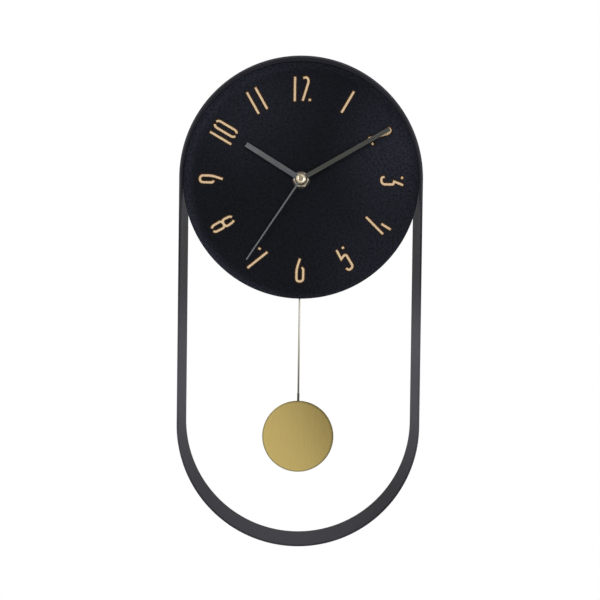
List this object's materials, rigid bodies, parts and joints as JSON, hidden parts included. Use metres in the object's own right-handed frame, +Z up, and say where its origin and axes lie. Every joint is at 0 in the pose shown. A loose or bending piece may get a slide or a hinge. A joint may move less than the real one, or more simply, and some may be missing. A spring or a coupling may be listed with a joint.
{
  "type": "pendulum wall clock",
  "caption": "Tall rounded steel loop carrying a round numbered dial, hands and a quartz movement that swings a disc pendulum; hangs on a wall by a keyhole bar.",
  "frame": {"origin": "centre of the keyhole's round head hole, on the wall plane", "axes": "+Z up along the wall, +Y into the wall, +X to the right as seen from the front"},
  "size_m": [0.25, 0.045, 0.5038],
  "materials": {
    "frame_paint": "matt black powder coat",
    "dial_paint": "fine-grained matt black paint on fibreboard",
    "zinc_steel": "zinc plated",
    "hub_brass": "turned brass",
    "washer_steel": "plain steel",
    "washer_rubber": "matt",
    "hand_metal": "grey satin anodised",
    "cap_brass": "polished",
    "movement_plastic": "fine matt mould texture",
    "gear_plastic": "natural acetal",
    "board_laminate": "solder-masked laminate",
    "crystal_can": "bright can",
    "coil_copper": "enamelled copper wire",
    "stator_iron": "soft iron sheet",
    "magnet_ferrite": "sintered ferrite",
    "pin_steel": "ground",
    "cell_jacket": "plain printed jacket",
    "contact_nickel": "nickel-plated spring sheet",
    "rod_wire": "bright drawn wire",
    "ferrule_steel": "darkened steel",
    "bob_brass": "satin, vertical brushing"
  },
  "bodies": {
    "case": {"frame_band": "frame_paint", "hanger_bar": "frame_paint", "dial_tabs": "frame_paint", "tab_screws": "zinc_steel", "dial_board": "dial_paint", "threaded_bush": "hub_brass", "rubber_washer": "washer_rubber", "dial_washer": "washer_steel", "fixing_nut": "hub_brass", "movement_front_case": "movement_plastic", "movement_back_cover": "movement_plastic", "train_plate": "gear_plastic", "circuit_board": "board_laminate", "quartz_crystal": "crystal_can", "motor_coil": "coil_copper", "stator": "stator_iron", "drive_coil": "coil_copper", "pivot_pin": "pin_steel", "battery_cell": "cell_jacket", "contact_positive": "contact_nickel", "contact_negative": "contact_nickel"},
    "seconds": {"second_wheel": "gear_plastic", "second_hand": "hand_metal", "second_cap": "cap_brass"},
    "third": {"third_wheel": "gear_plastic"},
    "centre": {"centre_wheel": "gear_plastic"},
    "fifth": {"fifth_wheel": "gear_plastic"},
    "rotor": {"rotor_pinion": "gear_plastic", "rotor_magnet": "magnet_ferrite"},
    "minutes": {"minute_arbor": "gear_plastic", "minute_hand": "hand_metal"},
    "hours": {"hour_wheel": "gear_plastic", "hour_hand": "hand_metal"},
    "setting": {"minute_wheel": "gear_plastic", "setting_knob": "movement_plastic"},
    "pendulum": {"pendulum_lever": "gear_plastic", "pendulum_magnet": "magnet_ferrite", "pendulum_rod": "rod_wire", "bob_ferrule": "ferrule_steel", "bob": "bob_brass"}
  },
  "joints": [
    {"name": "second_hand_turn", "type": "hinge", "parent": "case", "child": "seconds", "pos_m": [0, 0, -0.075], "axis": [0, 1, 0], "continuous": true},
    {"name": "third_wheel_turn", "type": "hinge", "parent": "case", "child": "third", "pos_m": [-0.00721, 0, -0.06779], "axis": [0, 1, 0], "continuous": true},
    {"name": "centre_wheel_turn", "type": "hinge", "parent": "case", "child": "centre", "pos_m": [0, 0, -0.075], "axis": [0, 1, 0], "continuous": true},
    {"name": "fifth_wheel_turn", "type": "hinge", "parent": "case", "child": "fifth", "pos_m": [0.00764, 0, -0.06736], "axis": [0, 1, 0], "continuous": true},
    {"name": "rotor_turn", "type": "hinge", "parent": "case", "child": "rotor", "pos_m": [0.00885, 0, -0.06047], "axis": [0, 1, 0], "continuous": true},
    {"name": "minute_hand_turn", "type": "hinge", "parent": "case", "child": "minutes", "pos_m": [0, 0, -0.075], "axis": [0, 1, 0], "continuous": true},
    {"name": "hour_hand_turn", "type": "hinge", "parent": "case", "child": "hours", "pos_m": [0, 0, -0.075], "axis": [0, 1, 0], "continuous": true},
    {"name": "setting_knob_turn", "type": "hinge", "parent": "case", "child": "setting", "pos_m": [0.012, 0, -0.075], "axis": [0, 1, 0], "continuous": true},
    {"name": "pendulum_swing", "type": "hinge", "parent": "case", "child": "pendulum", "pos_m": [0, 0, -0.115], "axis": [0, 1, 0], "range_deg": [-15, 15]}
  ],
  "couplings": [
    {"joint": "third_wheel_turn", "follows": "second_hand_turn", "ratio": -0.13333},
    {"joint": "centre_wheel_turn", "follows": "second_hand_turn", "ratio": 0.016667},
    {"joint": "fifth_wheel_turn", "follows": "second_hand_turn", "ratio": -5},
    {"joint": "rotor_turn", "follows": "second_hand_turn", "ratio": 30},
    {"joint": "hour_hand_turn", "follows": "minute_hand_turn", "ratio": 0.083333},
    {"joint": "setting_knob_turn", "follows": "minute_hand_turn", "ratio": -0.33333}
  ]
}
